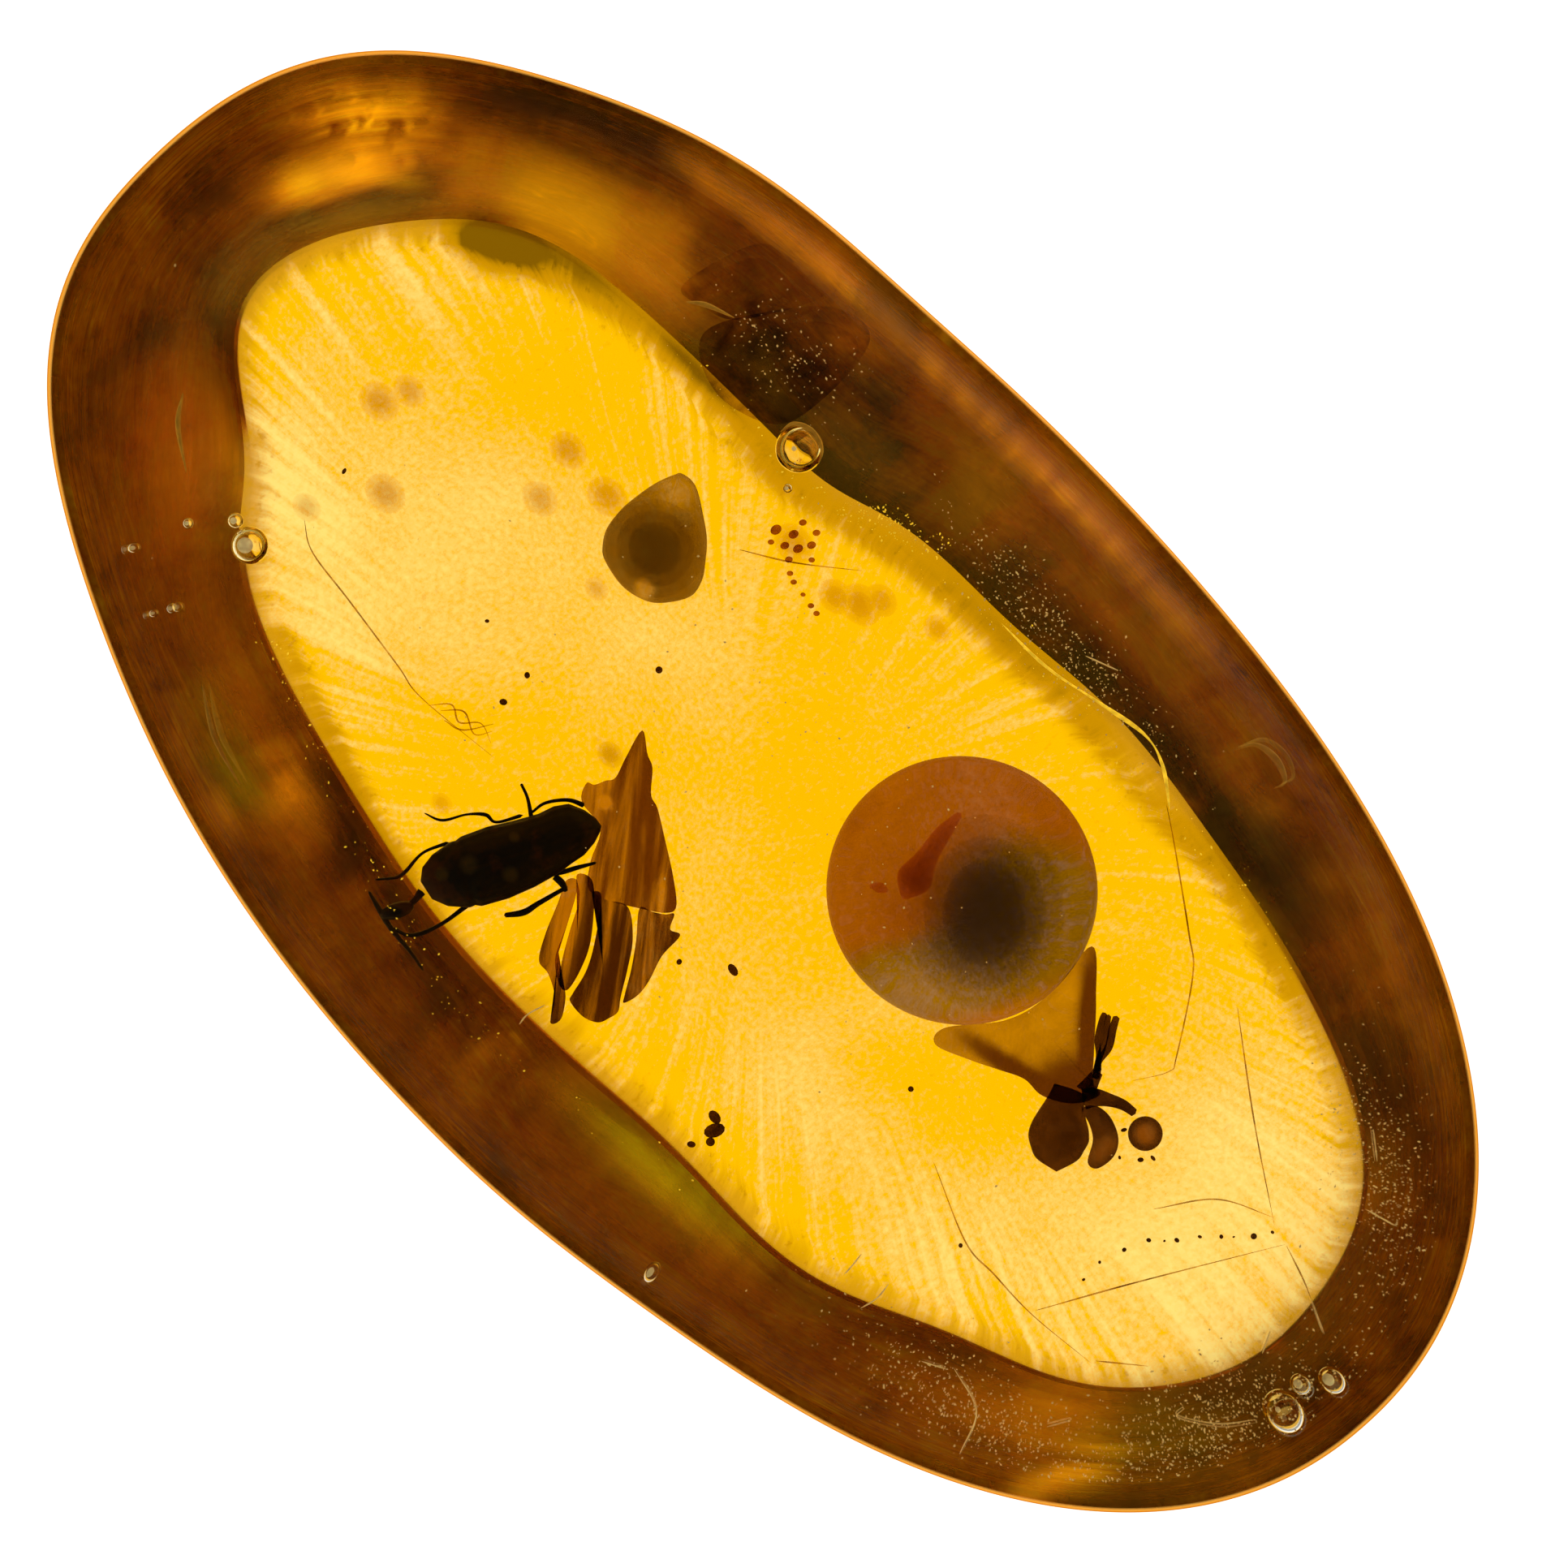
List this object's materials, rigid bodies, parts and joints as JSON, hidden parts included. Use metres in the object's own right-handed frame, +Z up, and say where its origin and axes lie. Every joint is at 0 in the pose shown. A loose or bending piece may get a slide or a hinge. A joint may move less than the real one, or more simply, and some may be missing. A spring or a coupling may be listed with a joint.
{
  "type": "insect in amber",
  "caption": "Polished oval nugget of clear amber with a small beetle, a plant scrap and gas bubbles sealed inside, lying on one flat ground face.",
  "frame": {"origin": "middle of the footprint, in the plane of the flat ground face that the nugget lies on", "axes": "+X along the nugget's length, +Y across its width, +Z up out of the dome"},
  "size_m": [0.026, 0.0138, 0.0078],
  "materials": {
    "amber": "polished, clear golden amber with brown edges"
  },
  "bodies": {
    "root": {"amber": "amber"}
  },
  "joints": []
}
